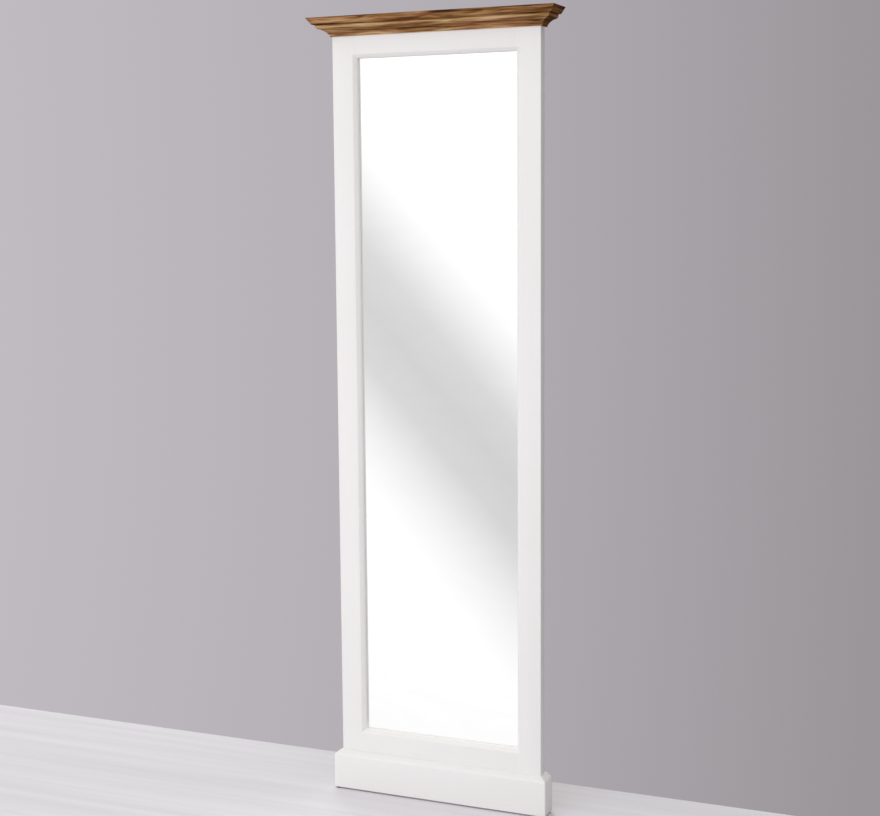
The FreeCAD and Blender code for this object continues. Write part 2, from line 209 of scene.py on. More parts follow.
def on_sight_edge(edge):
    """The arrises of the chamfer: its outer rim on the face and its inner rim on the land."""
    outer_rim = (front_y, chamfer_half, chamfer_height)
    inner_rim = (front_y + sight_chamfer, sight_half, sight_height)
    return any(all(abs(end.co.y - y) < hair and abs(end.co.x) < half + hair
                   and abs(end.co.z - sight_middle) < height / 2 + hair for end in edge.verts)
               for y, half, height in (outer_rim, inner_rim))


# The outside and the back
pick(whole_frame, "EDGE", on_front_rim)
bpy.ops.mesh.extrude_region_move(TRANSFORM_OT_translate={"value": (0, back_y - front_y, 0)})
pick(whole_frame, "EDGE", lambda edge: edge.is_boundary)
bpy.ops.mesh.bridge_edge_loops()
bpy.ops.mesh.select_all(action="SELECT")
bpy.ops.mesh.normals_make_consistent(inside=False)
ease(whole_frame, edge_at({across: frame_half, inward: front_y}), front_arris, segments=4)
ease(whole_frame, edge_at({across: frame_half, inward: back_y}), back_arris, segments=3)
ease(whole_frame, on_sight_edge, sight_arris, segments=2)
bpy.ops.object.mode_set(mode="OBJECT")

# Saw the frame into its four boards, and ease the joints to a hairline
joint_x = sight_half - joint_inset
left_joint = (-joint_x, 0, 0)
right_joint = (joint_x, 0, 0)
to_the_left = (-1, 0, 0)
to_the_right = (1, 0, 0)
between_stiles = [(right_joint, to_the_left), (left_joint, to_the_right)]
board_cuts = {
    "left_stile_board": [(left_joint, to_the_left)],
    "right_stile_board": [(right_joint, to_the_right)],
    "top_rail_board": between_stiles + [(sight_centre, (0, 0, 1))],
    "bottom_rail_board": between_stiles + [(sight_centre, (0, 0, -1))]}
boards = {}
for board_name, cuts in board_cuts.items():
    board = copy_of(whole_frame, board_name)
    bpy.ops.object.mode_set(mode="EDIT")
    for point, normal in cuts:
        saw(point, normal)
    ease(board, edge_at({across: joint_x, inward: front_y}), joint_arris, segments=1)
    face_out()
    boards[board_name] = board
bpy.data.objects.remove(whole_frame)

# Pockets behind the hanger plates
hanger_low, hanger_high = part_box("hanger_plates")
hanger_x = (sight_half + rebate_width + frame_half) / 2
hanger_z = (hanger_low.z + hanger_high.z) / 2
pocket_depth = 0.009
pocket_size = Vector((0.014, 2 * pocket_depth, 0.027))
pocket_corner = 0.004
for side, board_name in ((-1, "left_stile_board"), (1, "right_stile_board")):
    pocket_middle = Vector((side * hanger_x, back_y, hanger_z))
    pocket = block("pocket", pocket_middle - pocket_size / 2, pocket_middle + pocket_size / 2)
    ease(pocket, runs_along(inward), pocket_corner, segments=6)
    bpy.ops.object.mode_set(mode="OBJECT")
    cut_away(boards[board_name], pocket)

# Countersunk holes of the screws that hold the cornice and the plinth
screw_columns = (-0.130, 0.0, 0.130)
screw_hole = 0.00205
countersink = 0.00405
countersink_depth = countersink - screw_hole
drill_spare = 0.001
drill_step = (0, countersink_depth + drill_spare, 0)
drill_flare = (countersink + drill_spare) / screw_hole
board_depth = back_y - front_y
drill_y = back_y - countersink_depth - board_depth / 2
square_on = 0.9
for rail_name, screw_node in (("top_rail_board", "cornice_screws"), ("bottom_rail_board", "plinth_screws")):
    screws_low, screws_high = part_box(screw_node)
    screw_z = (screws_low.z + screws_high.z) / 2
    for screw_x in screw_columns:
        bpy.ops.object.select_all(action="DESELECT")
        bpy.ops.mesh.primitive_cylinder_add(vertices=32, radius=screw_hole, depth=board_depth,
                                            location=(screw_x, drill_y, screw_z),
                                            rotation=(quarter_turn, 0, 0))
        drill = bpy.context.object
        bpy.ops.object.transform_apply(location=True, rotation=True, scale=True)
        bpy.ops.object.mode_set(mode="EDIT")
        pick(drill, "FACE", lambda face: face.normal.y > square_on)
        push(drill_step, (drill_flare, 1, drill_flare), (screw_x, back_y, screw_z))
        bpy.ops.object.mode_set(mode="OBJECT")
        cut_away(boards[rail_name], drill)


def add_node(finish, kind, inputs=(), **settings):
    """Adds a node to a finish. Each input is a number, a colour or the output of another node."""
    made = finish.node_tree.nodes.new(kind)
    for name, value in settings.items():
        setattr(made, name, value)
    for socket, value in dict(inputs).items():
        if isinstance(value, bpy.types.NodeSocket):
            finish.node_tree.links.new(value, made.inputs[socket])
        else:
            made.inputs[socket].default_value = value
    return made


def new_finish(name, **constants):
    """A new finish with one surface shader, whose constant sockets are set by name."""
    finish = bpy.data.materials.new(name)
    finish.use_nodes = True
    surface = finish.node_tree.nodes["Principled BSDF"]
    for socket, value in constants.items():
        surface.inputs[socket.replace("_", " ")].default_value = value
    return finish, surface


def feed(finish, surface, socket, source):
    """Leads a colour or a value into one socket of a shader."""
    finish.node_tree.links.new(source, surface.inputs[socket])


def place_along(finish, axis):
    """How far each point of the surface lies along an axis, in metres."""
    place = add_node(finish, "ShaderNodeTexCoord").outputs["Object"]
    return add_node(finish, "ShaderNodeSeparateXYZ", {"Vector": place}).outputs[axis]


def streaks(finish, along, length_ratio, scale, detail=6.0, distortion=0.0):
    """Noise drawn out along one axis: brush marks or wood grain, from 0 to 1."""
    place = add_node(finish, "ShaderNodeTexCoord").outputs["Object"]
    stretch = [1.0, 1.0, 1.0]
    stretch[along] = length_ratio
    drawn = add_node(finish, "ShaderNodeMapping", {"Vector": place, "Scale": stretch})
    noise = add_node(finish, "ShaderNodeTexNoise", {"Vector": drawn.outputs["Vector"], "Scale": scale,
                                                    "Detail": detail, "Distortion": distortion})
    return noise.outputs["Fac"]


def ramp(finish, source, stops):
    """Colours by value: a list of (value, linear colour)."""
    made = add_node(finish, "ShaderNodeValToRGB", {"Fac": source})
    points = made.color_ramp.elements
    while len(points) < len(stops):
        points.new(0.5)
    for point, (place, colour) in zip(points, stops):
        point.position = place
        point.color = (*colour, 1)
    return made.outputs["Color"]


def spread(finish, source, low, high, source_low=0.0, source_high=1.0):
    """A value from one range, mostly 0 to 1, spread over another."""
    made = add_node(finish, "ShaderNodeMapRange", {"Value": source, "From Min": source_low,
                                                   "From Max": source_high, "To Min": low, "To Max": high})
    return made.outputs["Result"]


def blend(finish, factor, first, second):
    """A mix of two colours."""
    made = add_node(finish, "ShaderNodeMix", data_type="RGBA")
    for socket, value in (("Factor_Float", factor), ("A_Color", first), ("B_Color", second)):
        target = next(item for item in made.inputs if item.identifier == socket)
        if isinstance(value, bpy.types.NodeSocket):
            finish.node_tree.links.new(value, target)
        else:
            target.default_value = (*value, 1)
    return next(item for item in made.outputs if item.identifier == "Result_Color")


def reckon(finish, operation, first, second):
    """One step of arithmetic on two values."""
    return add_node(finish, "ShaderNodeMath", {0: first, 1: second}, operation=operation).outputs["Value"]


def relief(finish, surface, height, depth, strength):
    """Bump from a height value, with its depth in metres."""
    bump = add_node(finish, "ShaderNodeBump", {"Height": height, "Distance": depth, "Strength": strength})
    feed(finish, surface, "Normal", bump.outputs["Normal"])


def bare_pine(finish, along):
    """The colour of planed, unpainted pine with its growth rings."""
    rings = streaks(finish, along, length_ratio=0.035, scale=42.0, detail=3.0, distortion=1.6)
    fibres = streaks(finish, along, length_ratio=0.02, scale=420.0, detail=4.0)
    ring_colour = ramp(finish, rings, [(0.34, (0.66, 0.45, 0.25)), (0.5, (0.55, 0.34, 0.165)),
                                       (0.58, (0.36, 0.19, 0.08)), (0.66, (0.62, 0.41, 0.22))])
    fibre_colour = (0.47, 0.29, 0.14)
    return blend(finish, spread(finish, fibres, 0.0, 0.4), ring_colour, fibre_colour)


pine_gloss = 0.45
pine_roughness = 0.72
pine_grain = {"length_ratio": 0.03, "scale": 60.0, "detail": 4.0, "distortion": 0.8}
pine_relief = {"depth": 0.0004, "strength": 0.10}
paint_ragged = 0.0009
paint_fade = 0.0004


def painted_pine(name, along, bare_from):
    """Brushed white satin paint over pine. Behind bare_from the wood is bare, with a ragged paint edge."""
    finish, surface = new_finish(name, Specular_IOR_Level=pine_gloss)
    brush = streaks(finish, along, length_ratio=0.025, scale=260.0, detail=5.0)
    grain = streaks(finish, along, **pine_grain)
    cloud = streaks(finish, along, length_ratio=0.6, scale=4.0, detail=3.0)
    tone = reckon(finish, "ADD", spread(finish, cloud, 0.0, 0.7), spread(finish, brush, 0.0, 0.3))
    paint = ramp(finish, tone, [(0.25, (0.812, 0.795, 0.786)), (0.5, (0.834, 0.819, 0.812)),
                                (0.75, (0.850, 0.839, 0.833))])
    ragged_edge = spread(finish, brush, -paint_ragged, paint_ragged)
    ragged_place = reckon(finish, "ADD", place_along(finish, inward), ragged_edge)
    bare = spread(finish, ragged_place, 0.0, 1.0, bare_from - paint_fade, bare_from + paint_fade)
    feed(finish, surface, "Base Color", blend(finish, bare, paint, bare_pine(finish, along)))
    paint_roughness = spread(finish, brush, 0.33, 0.47)
    bare_roughness = spread(finish, bare, 0.0, pine_roughness)
    feed(finish, surface, "Roughness", reckon(finish, "MAXIMUM", paint_roughness, bare_roughness))
    relief(finish, surface, reckon(finish, "ADD", brush, grain), **pine_relief)
    return finish


def raw_pine(name, along):
    """Planed pine without paint."""
    finish, surface = new_finish(name, Roughness=pine_roughness, Specular_IOR_Level=pine_gloss)
    feed(finish, surface, "Base Color", bare_pine(finish, along))
    relief(finish, surface, streaks(finish, along, **pine_grain), **pine_relief)
    return finish


def leave_bare(piece, finish, unpainted):
    """Gives a bare finish to the faces of a piece that the brush doesn't reach."""
    piece.data.materials.append(finish)
    for face in piece.data.polygons:
        if unpainted(face.center):
            face.material_index = 1


def behind_the_land(place):
    """The back, the rebate and the pockets of the frame, inside its outer arrises."""
    return place.y > back_y - pocket_depth - hair and abs(place.x) < frame_half - back_arris - hair


paint_stop = 0.0007
stile_paint = painted_pine("white_paint_upright", upright, back_y - paint_stop)
rail_paint = painted_pine("white_paint_across", across, back_y - paint_stop)
stile_pine = raw_pine("bare_pine_upright", upright)
rail_pine = raw_pine("bare_pine_across", across)
for node_names, finish, bare_finish in ((("left_stile", "right_stile"), stile_paint, stile_pine),
                                        (("top_rail", "bottom_rail"), rail_paint, rail_pine)):
    for node_name in node_names:
        board = boards[f"{node_name}_board"]
        hand_in(board, node_name, finish)
        leave_bare(board, bare_finish, behind_the_land)

# Dowels: turned beech pins, 8 mm in the frame's joints and 6 mm in the returns of the cornice and the plinth.
# They are glued in and hidden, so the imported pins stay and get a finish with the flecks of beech.
beech, beech_surface = new_finish("beech", Roughness=0.62)
beech_flecks = streaks(beech, across, length_ratio=0.08, scale=900.0, detail=2.0)
beech_grain = streaks(beech, across, length_ratio=0.05, scale=160.0, detail=4.0)
beech_wood = ramp(beech, beech_grain, [(0.3, (0.58, 0.38, 0.22)), (0.7, (0.70, 0.50, 0.32))])
fleck_colour = (0.38, 0.20, 0.10)
beech_colour = blend(beech, spread(beech, beech_flecks, 0.0, 0.5), beech_wood, fleck_colour)
feed(beech, beech_surface, "Base Color", beech_colour)
relief(beech, beech_surface, beech_grain, depth=0.0003, strength=0.2)


def refinish(node_name, finish):
    """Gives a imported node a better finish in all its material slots."""
    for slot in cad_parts[node_name].material_slots:
        slot.material = finish


for dowel_node in ("frame_dowels", "cornice_dowels", "plinth_dowels"):
    refinish(dowel_node, beech)

# Cornice: a crown moulding of pine with a foot, a shallow cove, a bead, a quirk and a leaning fascia.
# It was wire brushed, stained brown and mitred at two corners, and is screwed and dowelled to the frame.
# The moulding is built up whole as a stack of steps and then sawn along its mitres.
cornice_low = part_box("cornice_front")[0].z
cornice_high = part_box("cornice_front")[1].z
cornice_projection = front_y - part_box("cornice_front")[0].y
rear_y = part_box("cornice_right_return")[1].y
cornice_arris = 0.0005
cornice_sharp = math.radians(35)
foot_projection = 0.004
foot_height = 0.0025
cove_width = 0.017
cove_height = 0.013
cove_hollow = 0.002
bead_radius = 0.008
quirk_height = 0.002
quirk_depth = 0.006
arc_steps = 8
cove_low = cornice_low + foot_height
cove_projection = foot_projection + cove_width
cove_chord = math.hypot(cove_width, cove_height)
bead_high = cove_low + cove_height + bead_radius
bead_projection = cove_projection + bead_radius
quirk_high = bead_high + quirk_height
cornice_steps = [(foot_projection, cornice_low), (foot_projection, cove_low)]
for step in range(1, arc_steps + 1):
    share = step / arc_steps
    sink = 4 * cove_hollow * share * (1 - share) / cove_chord
    cornice_steps.append((foot_projection + cove_width * share - cove_height * sink,
                          cove_low + cove_height * share + cove_width * sink))
for step in range(1, arc_steps + 1):
    turn = quarter_turn * step / arc_steps
    cornice_steps.append((cove_projection + bead_radius * math.sin(turn),
                          bead_high - bead_radius * math.cos(turn)))
cornice_steps += [(bead_projection, quirk_high), (bead_projection + quirk_depth, quirk_high),
                  (cornice_projection, cornice_high)]
stack_half_depth = 0.1
stack_middle_y = front_y + stack_half_depth


def stack(name, steps):
    """A solid round the frame, built upwards from a plate: each step gives its projection and its height."""
    projection, z = steps[0]
    bpy.ops.object.select_all(action="DESELECT")
    bpy.ops.mesh.primitive_plane_add(size=2, location=(0, stack_middle_y, z))
    made = bpy.context.object
    made.name = name
    made.scale = (frame_half + projection, stack_half_depth + projection, 1)
    bpy.ops.object.transform_apply(location=True, rotation=True, scale=True)
    bpy.ops.object.mode_set(mode="EDIT")
    bpy.ops.mesh.select_mode(type="FACE")
    bpy.ops.mesh.select_all(action="SELECT")
    for next_projection, next_z in steps[1:]:
        factor = ((frame_half + next_projection) / (frame_half + projection),
                  (stack_half_depth + next_projection) / (stack_half_depth + projection), 1)
        push((0, 0, next_z - z), factor, (0, stack_middle_y, next_z))
        projection, z = next_projection, next_z
    bpy.ops.mesh.select_all(action="SELECT")
    bpy.ops.mesh.normals_make_consistent(inside=False)
    return made


def mitred(whole, front_name, left_name, right_name):
    """Saws a stack into its front run and two returns that end at rear_y, and throws the stack away."""
    right_corner = (frame_half, front_y, 0)
    left_corner = (-frame_half, front_y, 0)
    rear_cut = ((0, rear_y, 0), (0, -1, 0))
    cuts = {
        front_name: [((0, front_y, 0), (0, -1, 0)), (right_corner, (-1, -1, 0)), (left_corner, (1, -1, 0))],
        left_name: [((-frame_half, 0, 0), (-1, 0, 0)), (left_corner, (-1, 1, 0)), rear_cut],
        right_name: [((frame_half, 0, 0), (1, 0, 0)), (right_corner, (1, 1, 0)), rear_cut]}
    made = []
    for name, planes in cuts.items():
        run = copy_of(whole, name)
        bpy.ops.object.mode_set(mode="EDIT")
        for point, normal in planes:
            saw(point, normal)
        face_out()
        made.append(run)
    bpy.data.objects.remove(whole)
    return made


whole_cornice = stack("whole_cornice", cornice_steps)
bpy.ops.mesh.select_mode(type="EDGE")
bpy.ops.mesh.select_all(action="DESELECT")
bpy.ops.mesh.edges_select_sharp(sharpness=cornice_sharp)
bpy.ops.mesh.bevel(offset=cornice_arris, offset_type="OFFSET", segments=2, profile=0.5, affect="EDGES")
bpy.ops.object.mode_set(mode="OBJECT")
cornice_runs = mitred(whole_cornice, "cornice_front_run", "cornice_left_run", "cornice_right_run")
stain_wander = 0.002


def greys(*tones):
    """Stops of a ramp in plain greys, from pairs of value and tone."""
    return [(place, (tone, tone, tone)) for place, tone in tones]


def stained_pine(name, along, strength):
    """Brown stain on brushed pine with long streaks. By height it is darker in the hollows and lighter on the
    bead: partly stain pooled in the hollows, partly painted shade under the overhangs and a painted highlight
    on the bead.
    """
    finish, surface = new_finish(name, Specular_IOR_Level=0.08)
    broad = streaks(finish, along, length_ratio=0.08, scale=130.0, detail=2.5, distortion=0.6)
    fine = streaks(finish, along, length_ratio=0.03, scale=700.0, detail=4.0)
    patches = streaks(finish, along, length_ratio=0.2, scale=40.0, detail=2.0)
    wander = spread(finish, broad, -stain_wander, stain_wander)
    height = reckon(finish, "ADD", place_along(finish, upright), wander)
    level = spread(finish, height, 0.0, 1.0, cornice_low, cornice_high)
    # Bands by height: dark in the cove, under the bead, in the quirk and at the top of the fascia, lightest
    # on the bead. Partly stain pooled in the hollows, partly painted shade on faces that look down and a
    # painted highlight on the bead's crest.
    stain_and_painted_shade_bands = ramp(finish, level, greys(
        (0.0, 0.60), (0.10, 0.56), (0.22, 0.35), (0.30, 0.31), (0.40, 0.57), (0.49, 0.92), (0.56, 0.64),
        (0.61, 0.26), (0.68, 0.43), (0.78, 0.53), (0.88, 0.30), (1.0, 0.24)))
    drawn = reckon(finish, "ADD", stain_and_painted_shade_bands, spread(finish, broad, -0.95, 0.95))
    tone = reckon(finish, "ADD", drawn, spread(finish, fine, -0.4, 0.4))
    # A strength below 1 darkens the whole tone: painted shade, used for the returns.
    shade = reckon(finish, "MULTIPLY", tone, strength)
    stain = ramp(finish, shade, [(0.05, (0.050, 0.016, 0.003)), (0.28, (0.165, 0.066, 0.018)),
                                 (0.52, (0.300, 0.145, 0.056)), (0.76, (0.460, 0.268, 0.126)),
                                 (1.0, (0.620, 0.410, 0.230))])
    hue = spread(finish, patches, 0.475, 0.525)
    tinted = add_node(finish, "ShaderNodeHueSaturation", {"Hue": hue, "Color": stain})
    feed(finish, surface, "Base Color", tinted.outputs["Color"])
    feed(finish, surface, "Roughness", spread(finish, fine, 0.48, 0.66))
    relief(finish, surface, reckon(finish, "ADD", broad, fine), depth=0.0008, strength=0.4)
    return finish


stain_across = stained_pine("stained_pine_across", across, strength=1.0)
# The returns get the same stain at 0.55 strength: painted shade, because their sides face away from the
# light.
stain_returns_painted_shade = stained_pine("stained_pine_returns_painted_shade", inward, strength=0.55)
cornice_nodes = ("cornice_front", "cornice_left_return", "cornice_right_return")
for run, node_name, finish in zip(cornice_runs, cornice_nodes, (stain_across, stain_returns_painted_shade, stain_returns_painted_shade)):
    hand_in(run, node_name, finish)

# Plinth: three boards with a chamfered top, mitred at the two front corners and painted like the frame.
# The arrises and the upright corners are rounded by sanding. It is screwed and dowelled to the frame's foot.
plinth_low, plinth_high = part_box("plinth_front")
plinth_projection = front_y - plinth_low.y
plinth_ledge = 0.003
plinth_chamfer_height = 0.009
shoulder_radius = 0.008
ledge_radius = 0.003
toe_round = 0.0015
corner_round = 0.0025
plinth_shoulder = plinth_high.z - plinth_chamfer_height
plinth_slope = math.atan2(plinth_chamfer_height, plinth_projection - plinth_ledge)
shoulder_round = shoulder_radius * math.tan((quarter_turn - plinth_slope) / 2)
ledge_round = ledge_radius * math.tan(plinth_slope / 2)
whole_plinth = stack("whole_plinth", [(plinth_projection, plinth_low.z), (plinth_projection, plinth_shoulder),
                                      (plinth_ledge, plinth_high.z)])
ease(whole_plinth, runs_along(upright), corner_round, segments=4)
ease(whole_plinth, edge_at({upright: plinth_low.z}), toe_round, segments=3)
ease(whole_plinth, edge_at({upright: plinth_shoulder}), shoulder_round, segments=8)
ease(whole_plinth, edge_at({upright: plinth_high.z}), ledge_round, segments=3)
bpy.ops.object.mode_set(mode="OBJECT")
plinth_runs = mitred(whole_plinth, "plinth_front_board", "plinth_left_board", "plinth_right_board")
plinth_paint = painted_pine("white_paint_plinth", across, rear_y - paint_stop)
return_paint = painted_pine("white_paint_plinth_returns", inward, rear_y - paint_stop)
plinth_nodes = ("plinth_front", "plinth_left_return", "plinth_right_return")
for run, node_name, finish in zip(plinth_runs, plinth_nodes, (plinth_paint, return_paint, return_paint)):
    hand_in(run, node_name, finish)
return_pine = raw_pine("bare_pine_returns", inward)
for run in plinth_runs[1:]:
    leave_bare(run, return_pine, lambda place: abs(abs(place.x) - frame_half) < hair)

# Floor glides: four discs of pressed felt, stuck under the ends of the plinth, so that the boards clear
# the floor. Cut felt has soft edges, so theirs are rounded.
glides_low, glides_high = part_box("floor_glides")
glide_radius = 0.0065
glide_rim = 0.0009
glide_height = glides_high.z - glides_low.z
first_glide = glides_low + Vector((glide_radius, glide_radius, glide_height / 2))
glide_span = glides_high - glides_low - Vector((2 * glide_radius, 2 * glide_radius, 0))
bpy.ops.object.select_all(action="DESELECT")
bpy.ops.mesh.primitive_cylinder_add(vertices=40, radius=glide_radius, depth=glide_height,
                                    location=first_glide)
glides = bpy.context.object
glides.name = "felt_glides"
bpy.ops.object.transform_apply(location=True, rotation=True, scale=True)
bpy.ops.object.mode_set(mode="EDIT")
ease(glides, lambda edge: not runs_along(upright)(edge), glide_rim, segments=3)
for step in ((glide_span.x, 0, 0), (0, glide_span.y, 0)):
    bpy.ops.mesh.select_all(action="SELECT")
    bpy.ops.mesh.duplicate_move(TRANSFORM_OT_translate={"value": step})
face_out()


def mottled(name, marks, stops, depth, strength, **constants):
    """A finish whose colour and relief follow one pattern of streaks."""
    finish, surface = new_finish(name, **constants)
    pattern = streaks(finish, **marks)
    feed(finish, surface, "Base Color", ramp(finish, pattern, stops))
    relief(finish, surface, pattern, depth, strength)
    return finish


felt_fibres = {"along": upright, "length_ratio": 1.0, "scale": 1400.0, "detail": 5.0, "distortion": 2.0}
felt_colours = [(0.3, (0.035, 0.034, 0.034)), (0.7, (0.095, 0.092, 0.090))]
felt = mottled("pressed_felt", felt_fibres, felt_colours, depth=0.0006, strength=0.8,
               Roughness=0.95, Sheen_Weight=0.4)
hand_in(glides, "floor_glides", felt)

# Glazing tape: closed-cell foam strips between the frame's shoulder and the glass, stuck on before the glass
# goes in. The long strips run past the short ones, and the glass has pressed their edges round.
tape_low, tape_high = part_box("glazing_tape")
tape_width = 0.006
tape_round = 0.0001
tape_left = tape_low.x + tape_width
tape_right = tape_high.x - tape_width
tape_parts = []
for low_x, low_z, high_x, high_z in ((tape_low.x, tape_low.z, tape_left, tape_high.z),
                                     (tape_right, tape_low.z, tape_high.x, tape_high.z),
                                     (tape_left, tape_low.z, tape_right, tape_low.z + tape_width),
                                     (tape_left, tape_high.z - tape_width, tape_right, tape_high.z)):
    strip = block("tape_strip", (low_x, tape_low.y, low_z), (high_x, tape_high.y, high_z))
    ease(strip, lambda edge: True, tape_round, segments=2)
    face_out()
    tape_parts.append(strip)
for strip in tape_parts:
    strip.select_set(True)
bpy.ops.object.join()
tape = bpy.context.object
tape.name = "foam_tape"
foam_cells = {"along": upright, "length_ratio": 1.0, "scale": 2200.0, "detail": 2.0}
foam_colours = [(0.35, (0.80, 0.80, 0.79)), (0.65, (0.90, 0.90, 0.89))]
foam = mottled("closed_cell_foam", foam_cells, foam_colours, depth=0.0003, strength=0.6, Roughness=0.9)
hand_in(tape, "glazing_tape", foam)

# Setting blocks: two blocks of hard rubber in the bottom of the rebate, which carry the weight of the glass.
# They are cut from a strip, so their long edges are eased and their ends are square.
blocks_low, blocks_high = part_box("setting_blocks")
block_length = 0.040
block_arris = 0.0004
block_step = blocks_high.x - blocks_low.x - block_length
rubber_blocks = block("rubber_blocks", blocks_low,
                      (blocks_low.x + block_length, blocks_high.y, blocks_high.z))
ease(rubber_blocks, runs_along(across), block_arris, segments=2)
bpy.ops.mesh.select_all(action="SELECT")
bpy.ops.mesh.duplicate_move(TRANSFORM_OT_translate={"value": (block_step, 0, 0)})
face_out()
rubber_bloom = {"along": across, "length_ratio": 0.5, "scale": 300.0}
rubber_colours = [(0.35, (0.018, 0.018, 0.019)), (0.7, (0.055, 0.055, 0.058))]
rubber = mottled("hard_rubber", rubber_bloom, rubber_colours, depth=0.0002, strength=0.4, Roughness=0.7)
hand_in(rubber_blocks, "setting_blocks", rubber)

# Mirror pane: 4 mm float glass, silvered on its back and sealed with grey paint, its edges seamed by a stone.
# It lies on the glazing tape and stands on the setting blocks.
pane_low, pane_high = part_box("mirror_pane")
pane_seam = 0.0004
pane = block("silvered_pane", pane_low, pane_high)
ease(pane, lambda edge: True, pane_seam, segments=1)
bpy.ops.object.mode_set(mode="OBJECT")
silver, silver_surface = new_finish("silvered_float_glass", Metallic=1.0, Coat_Weight=0.25,
                                    Coat_Roughness=0.01)
wipe_marks = streaks(silver, across, length_ratio=0.3, scale=9.0, detail=8.0, distortion=2.5)
silver_colour = ramp(silver, wipe_marks, [(0.3, (0.940, 0.946, 0.942)), (0.7, (0.960, 0.964, 0.961))])
feed(silver, silver_surface, "Base Color", silver_colour)
feed(silver, silver_surface, "Roughness", spread(silver, wipe_marks, 0.0, 0.012))
stone_marks = {"along": upright, "length_ratio": 0.3, "scale": 700.0}
edge_colours = [(0.3, (0.10, 0.22, 0.18)), (0.7, (0.22, 0.40, 0.34))]
glass_edge = mottled("ground_glass_edge", stone_marks, edge_colours, depth=0.0003, strength=0.4,
                     Roughness=0.45)
roller_marks = {"along": upright, "length_ratio": 0.2, "scale": 120.0}
sealing_colours = [(0.3, (0.16, 0.17, 0.18)), (0.7, (0.22, 0.23, 0.24))]
sealing = mottled("sealing_paint", roller_marks, sealing_colours, depth=0.0002, strength=0.3, Roughness=0.6)
hand_in(pane, "mirror_pane", silver)
pane.data.materials.append(glass_edge)
pane.data.materials.append(sealing)
for face in pane.data.polygons:
    if abs(face.normal.y) < square_on:
        face.material_index = 1
    elif face.normal.y > 0:
        face.material_index = 2

# Back panel: a sheet of 3 mm hardboard that lies in the rebate behind the glass, flush with the frame's back.
# Its fibrous side faces out, and its sawn edges are slightly broken. Turn buttons hold it.
panel_low, panel_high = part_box("back_panel")
panel_arris = 0.0005
panel = block("hardboard_sheet", panel_low, panel_high)
ease(panel, lambda edge: True, panel_arris, segments=2)
face_out()
hardboard, hardboard_surface = new_finish("raw_hardboard", Specular_IOR_Level=0.3)
fibre_clumps = streaks(hardboard, upright, length_ratio=0.9, scale=90.0, detail=4.0)
fibres = streaks(hardboard, upright, length_ratio=0.7, scale=700.0, detail=4.0, distortion=1.5)
fibre_tone = reckon(hardboard, "ADD", spread(hardboard, fibre_clumps, 0.0, 0.4),
                    spread(hardboard, fibres, 0.0, 0.6))
hardboard_colour = ramp(hardboard, fibre_tone, [(0.32, (0.170, 0.092, 0.048)), (0.5, (0.225, 0.130, 0.070)),
                                                (0.68, (0.290, 0.178, 0.102))])
feed(hardboard, hardboard_surface, "Base Color", hardboard_colour)
feed(hardboard, hardboard_surface, "Roughness", spread(hardboard, fibres, 0.62, 0.85))
relief(hardboard, hardboard_surface, fibres, depth=0.0006, strength=0.5)
hand_in(panel, "back_panel", hardboard)

# Screws, turn buttons and hangers: zinc-plated steel. Each turn button swivels on its pan head screw, and
# each keyhole plate is held over its pocket by two more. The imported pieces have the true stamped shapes,
# so they stay and get the clouded, finely scratched look of clear-passivated zinc.
zinc, zinc_surface = new_finish("zinc_plate", Metallic=0.62)
zinc_clouds = streaks(zinc, upright, length_ratio=0.8, scale=170.0, detail=6.0, distortion=1.2)
zinc_scratches = streaks(zinc, across, length_ratio=0.06, scale=1600.0, detail=3.0)
zinc_film = ramp(zinc, zinc_clouds, [(0.3, (0.58, 0.60, 0.63)), (0.5, (0.72, 0.73, 0.74)),
                                     (0.7, (0.78, 0.76, 0.70))])
scratch_colour = (0.42, 0.43, 0.44)
zinc_colour = blend(zinc, spread(zinc, zinc_scratches, 0.0, 0.35), zinc_film, scratch_colour)
feed(zinc, zinc_surface, "Base Color", zinc_colour)
feed(zinc, zinc_surface, "Roughness", spread(zinc, zinc_clouds, 0.26, 0.46))
relief(zinc, zinc_surface, zinc_scratches, depth=0.0002, strength=0.25)
zinc_nodes = [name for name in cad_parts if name.startswith(("turn_button", "hanger"))]
for zinc_node in zinc_nodes + ["cornice_screws", "plinth_screws"]:
    refinish(zinc_node, zinc)

# Studio floor: a plain pale floor that ends a hand's span behind the mirror. It isn't part of the object.
# The mirror doesn't show it, so that the glass reflects only the bright studio.
floor_half_width = 6.0
floor_front = -5.0
floor_rear = 0.22
floor_thickness = 0.006
floor_rim = 0.002
floor = block("studio_floor", (-floor_half_width, floor_front, -floor_thickness),
              (floor_half_width, floor_rear, 0))
ease(floor, lambda edge: all(end.co.z > -floor_thickness / 2 for end in edge.verts), floor_rim, segments=2)
face_out()
limewash = {"along": across, "length_ratio": 0.03, "scale": 26.0, "detail": 5.0}
floor_colours = [(0.3, (0.735, 0.712, 0.745)), (0.7, (0.825, 0.803, 0.831))]
pale_floor = mottled("pale_floor", limewash, floor_colours, depth=0.0005, strength=0.2, Roughness=0.55)
floor.data.materials.append(pale_floor)
floor.visible_glossy = False

# Studio light: a broad surround, brightest in front and overhead and dimmer on the right and behind, with
# soft slanting bands for the glass to show. The camera sees a grey backdrop instead, with painted shade:
# lighter on the left and darker on the right, as the light falls from the left. One soft box at the front
# picks out the mouldings, and another lights the back.
surround_level = 0.60
surround_lean = (-0.18, -0.55, 0.36)
surround_least = 0.08
band_normal = (0.6856, -0.3707, 0.6266)
band_spacing = 0.25
band_tones = greys((0.0, 0.60), (0.09, 0.64), (0.14, 0.73), (0.18, 0.81), (0.23, 0.89), (0.32, 1.0))
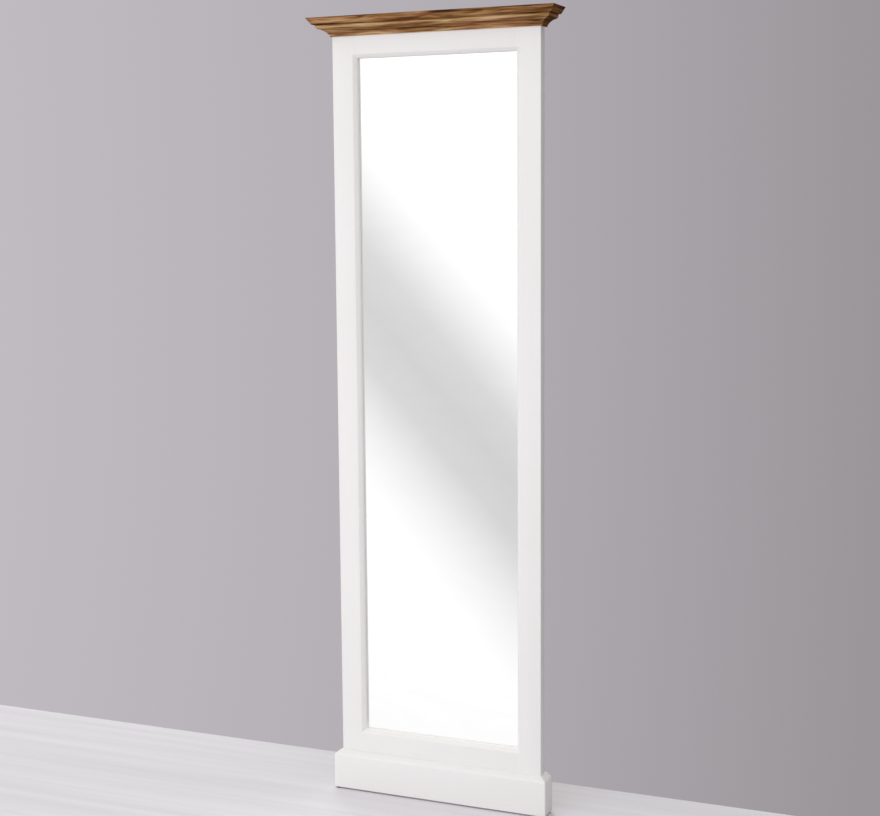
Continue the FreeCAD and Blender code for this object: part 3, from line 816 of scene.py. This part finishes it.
# The backdrop's greys carry painted shade: they darken from left to right.
backdrop_left = -0.62
backdrop_right = -0.13
backdrop_painted_shade_colours = [(0.0, (0.530, 0.497, 0.533)), (0.5, (0.445, 0.418, 0.447)), (1.0, (0.325, 0.304, 0.322))]
studio = bpy.data.worlds.new("studio")
studio.use_nodes = True
bpy.context.scene.world = studio
way = add_node(studio, "ShaderNodeTexCoord").outputs["Generated"]


def towards(direction):
    """How far each way into the studio leans towards a direction."""
    leaning = add_node(studio, "ShaderNodeVectorMath", {0: way, 1: direction}, operation="DOT_PRODUCT")
    return leaning.outputs["Value"]


surround = reckon(studio, "ADD", towards(surround_lean), surround_level)
surround = reckon(studio, "MAXIMUM", surround, surround_least)
band_step = reckon(studio, "PINGPONG", towards(band_normal), band_spacing)
band = ramp(studio, reckon(studio, "DIVIDE", band_step, band_spacing), band_tones)
banded = reckon(studio, "MULTIPLY", surround, band)
sideways = add_node(studio, "ShaderNodeSeparateXYZ", {"Vector": way}).outputs["X"]
backdrop_share = spread(studio, sideways, 0.0, 1.0, backdrop_left, backdrop_right)
backdrop = ramp(studio, backdrop_share, backdrop_painted_shade_colours)
seen = add_node(studio, "ShaderNodeLightPath").outputs["Is Camera Ray"]
feed(studio, studio.node_tree.nodes["Background"], "Color", blend(studio, seen, banded, backdrop))


def soft_box(name, place, aim, size, energy):
    """A soft lamp that no camera and no mirror shows."""
    lamp = bpy.data.lights.new(name, "AREA")
    lamp.shape = "RECTANGLE"
    lamp.size, lamp.size_y = size
    lamp.energy = energy
    stand = bpy.data.objects.new(name, lamp)
    stand.location = place
    stand.rotation_euler = (Vector(aim) - Vector(place)).to_track_quat("-Z", "Y").to_euler()
    stand.visible_glossy = False
    stand.visible_camera = False
    bpy.context.scene.collection.objects.link(stand)


box_aim = (0, 0, 0.9)
box_size = (1.6, 1.8)
soft_box("front_soft_box", place=(-1.0, -3.0, 1.2), aim=box_aim, size=box_size, energy=14)
soft_box("rear_soft_box", place=(-1.6, 2.6, 1.8), aim=box_aim, size=box_size, energy=45)

# The glass throws the studio's light back on its own frame and on the floor. The renderer leaves that out,
# so a broad soft box just in front of the glass gives it, and a narrow one adds light on the land below
glow_gap = 0.0003
glow_y = pane_low.y - glow_gap
glow_aim_y = front_y - 1.0
glow_width = 2 * sight_half
glow_energy = 0.4
strip_height = 0.012
strip_z = sight_low + strip_height / 2
strip_energy = 0.008
for name, height, z, energy in (("glow_of_the_glass", sight_height, sight_middle, glow_energy),
                                ("glow_at_its_foot", strip_height, strip_z, strip_energy)):
    soft_box(name, (0, glow_y, z), (0, glow_aim_y, z), (glow_width, height), energy)

# Camera: at the photograph's viewing angle. Its place, its three turns and its focal length were found
# from the object's edges there
picture_width = 880
film_width = 36
focal_pixels = 1598.3
camera_place = (1.4136, -3.2977, 1.3761)
camera_turn = 0.4021
camera_tilt = 0.1250
camera_roll = -0.0077
camera = bpy.data.cameras.new("viewer")
camera.sensor_width = film_width
camera.lens = focal_pixels / picture_width * film_width
viewer = bpy.data.objects.new("viewer", camera)
viewer.location = camera_place
turned = Matrix.Rotation(camera_turn, 4, "Z")
tilted = Matrix.Rotation(quarter_turn - camera_tilt, 4, "X")
rolled = Matrix.Rotation(camera_roll, 4, "Z")
viewer.rotation_euler = (turned @ tilted @ rolled).to_euler()
bpy.context.scene.collection.objects.link(viewer)
bpy.context.scene.camera = viewer
bpy.context.scene.view_settings.view_transform = "Standard"
